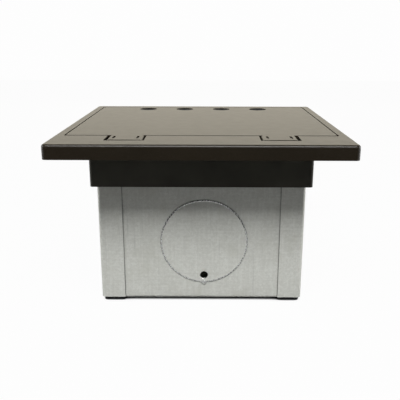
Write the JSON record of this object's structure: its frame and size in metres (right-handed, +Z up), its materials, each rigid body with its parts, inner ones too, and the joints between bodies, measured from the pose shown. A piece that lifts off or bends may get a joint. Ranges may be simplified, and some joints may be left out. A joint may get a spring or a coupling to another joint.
{
  "type": "floor socket box",
  "caption": "Square floor socket box: hinged flush lid with round cable outlets, trim frame and collar over a galvanised box with knockouts, power and data sockets inside.",
  "frame": {"origin": "on the ground under the middle of the floor frame", "axes": "+Z up, -Y towards the lid hinges, +Y towards the cable outlets, X along the hinge line"},
  "size_m": [0.292, 0.292, 0.181],
  "materials": {
    "bronze_paint": "dark bronze powder coat, satin",
    "black_paint": "black paint, satin",
    "galvanised": "hot dip galvanised sheet, fine spangle",
    "black_rubber": "moulded rubber, matt",
    "bare_steel": "plain steel",
    "zinc_screw": "zinc plated",
    "device_plastic": "moulded nylon, semi gloss",
    "housing_plastic": "moulded thermoset, matt",
    "jack_plastic": "moulded plastic, matt",
    "cover_plastic": "moulded plastic, matt",
    "contact_brass": "bright brass",
    "earth_green": "green dyed zinc"
  },
  "bodies": {
    "box": {"box_pan": "galvanised", "bracket_screws": "zinc_screw", "corner_feet": "black_rubber", "data_bracket": "galvanised", "data_insert_back": "device_plastic", "data_insert_front": "device_plastic", "data_jack_back_lower": "jack_plastic", "data_jack_back_upper": "jack_plastic", "data_jack_front_lower": "jack_plastic", "data_jack_front_upper": "jack_plastic", "device_screws": "zinc_screw", "dust_cover_pins": "bare_steel", "earth_lug": "contact_brass", "earth_screw": "earth_green", "jack_contacts": "contact_brass", "knockout_back": "galvanised", "knockout_front": "galvanised", "knockout_left": "galvanised", "knockout_right": "galvanised", "levelling_plates": "galvanised", "outlet_contacts": "contact_brass", "outlet_face_back": "device_plastic", "outlet_face_front": "device_plastic", "outlet_housing_back": "housing_plastic", "outlet_housing_front": "housing_plastic", "outlet_strap_back": "zinc_screw", "outlet_strap_front": "zinc_screw", "power_bracket": "galvanised", "side_wall_left": "galvanised", "side_wall_right": "galvanised", "terminal_screws": "contact_brass"},
    "floor_trim": {"floor_frame": "bronze_paint", "lid_gasket": "black_rubber", "hinge_pin_left": "bare_steel", "hinge_pin_right": "bare_steel", "collar": "black_paint", "collar_screws": "zinc_screw", "levelling_hangers": "black_paint", "levelling_screws": "zinc_screw", "levelling_retainers": "zinc_screw"},
    "lid": {"lid_plate": "bronze_paint", "hinge_ears": "black_paint", "cable_grommets": "black_rubber", "lid_stiffener_left": "bronze_paint", "lid_stiffener_right": "bronze_paint"},
    "dust_cover_front_lower": {"dust_cover_front_lower": "cover_plastic"},
    "dust_cover_front_upper": {"dust_cover_front_upper": "cover_plastic"},
    "dust_cover_back_lower": {"dust_cover_back_lower": "cover_plastic"},
    "dust_cover_back_upper": {"dust_cover_back_upper": "cover_plastic"}
  },
  "joints": [
    {"name": "trim_lift", "type": "slide", "parent": "box", "child": "floor_trim", "axis": [0, 0, 1], "range_m": [0, 0.012]},
    {"name": "lid_hinge", "type": "hinge", "parent": "floor_trim", "child": "lid", "pos_m": [0, -0.11466, 0.176], "axis": [1, 0, 0], "range_deg": [0, 110]},
    {"name": "dust_cover_front_lower_hinge", "type": "hinge", "parent": "box", "child": "dust_cover_front_lower", "pos_m": [0.0522, -0.0357, 0.057], "axis": [0, 1, 0], "range_deg": [0, 100], "stiffness_Nm_per_rad": 0.002, "springref_deg": -22.92},
    {"name": "dust_cover_front_upper_hinge", "type": "hinge", "parent": "box", "child": "dust_cover_front_upper", "pos_m": [0.0522, -0.0357, 0.087], "axis": [0, 1, 0], "range_deg": [0, 100], "stiffness_Nm_per_rad": 0.002, "springref_deg": -22.92},
    {"name": "dust_cover_back_lower_hinge", "type": "hinge", "parent": "box", "child": "dust_cover_back_lower", "pos_m": [0.0522, 0.0683, 0.057], "axis": [0, 1, 0], "range_deg": [0, 100], "stiffness_Nm_per_rad": 0.002, "springref_deg": -22.92},
    {"name": "dust_cover_back_upper_hinge", "type": "hinge", "parent": "box", "child": "dust_cover_back_upper", "pos_m": [0.0522, 0.0683, 0.087], "axis": [0, 1, 0], "range_deg": [0, 100], "stiffness_Nm_per_rad": 0.002, "springref_deg": -22.92}
  ]
}
